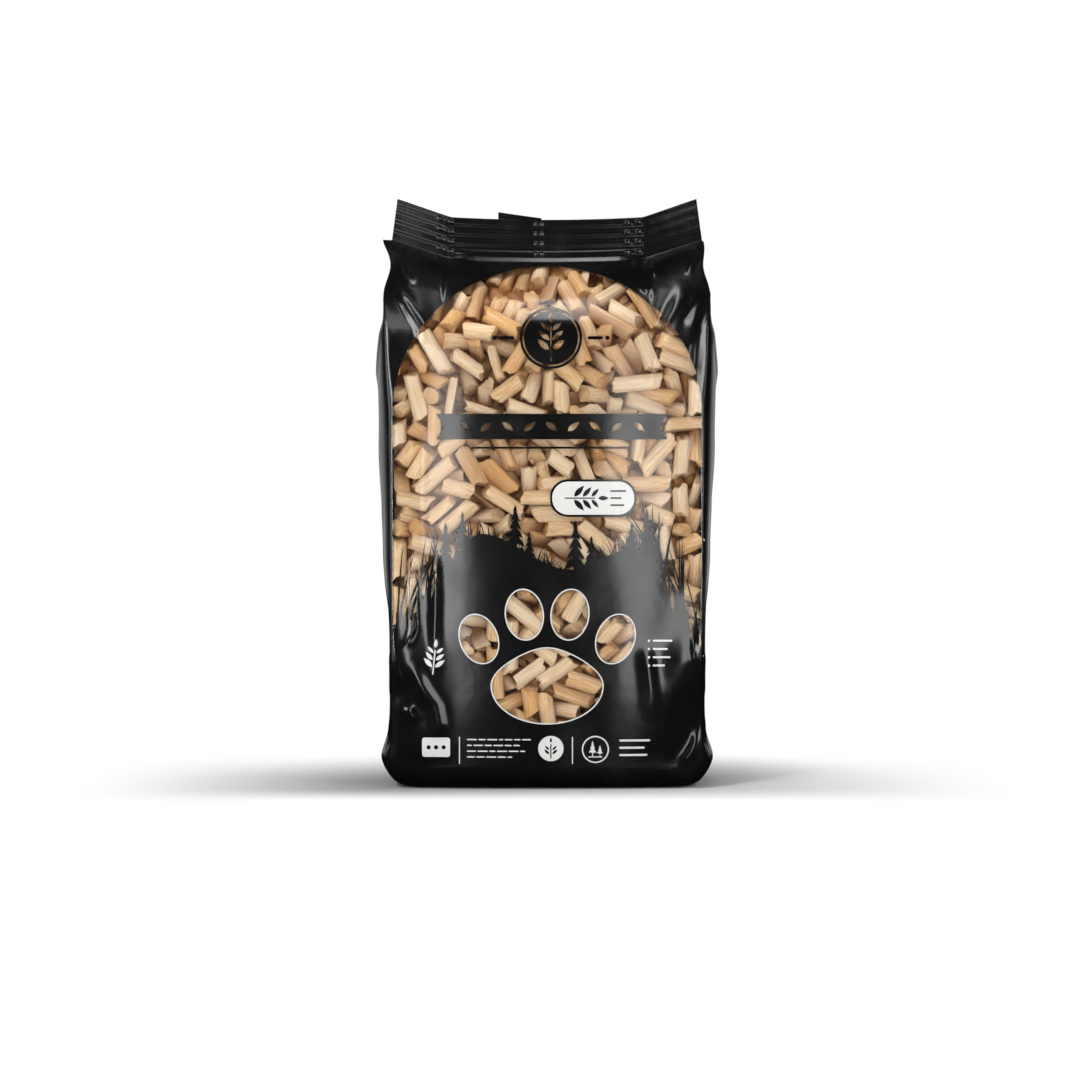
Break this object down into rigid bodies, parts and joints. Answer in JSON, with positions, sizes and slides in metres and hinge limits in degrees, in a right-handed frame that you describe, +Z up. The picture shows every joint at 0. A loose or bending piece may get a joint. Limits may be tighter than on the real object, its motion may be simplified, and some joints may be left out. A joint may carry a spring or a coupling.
{
  "type": "cat litter bag",
  "caption": "Filled side-gusseted film bag of wood-pellet litter, with a crimped top seal, a back fin and clear windows that show the pellets.",
  "frame": {"origin": "middle of the flat base, on the floor", "axes": "+Z up from the base to the top seal, -Y out of the front with the window, +X to the right as the front is seen, right-handed"},
  "size_m": [0.3678, 0.1496, 0.637],
  "materials": {
    "black_film": "glossy black printed polyethylene film, softly wrinkled",
    "clear_film": "clear glossy polyethylene film",
    "pellets": "pale pressed softwood, matt, with rough broken ends"
  },
  "bodies": {
    "root": {"film_bag": "black_film", "window_film": "clear_film", "pad_window_film": "clear_film", "toe_window_film_1": "clear_film", "toe_window_film_2": "clear_film", "toe_window_film_3": "clear_film", "toe_window_film_4": "clear_film", "pellets": "pellets"}
  },
  "joints": []
}
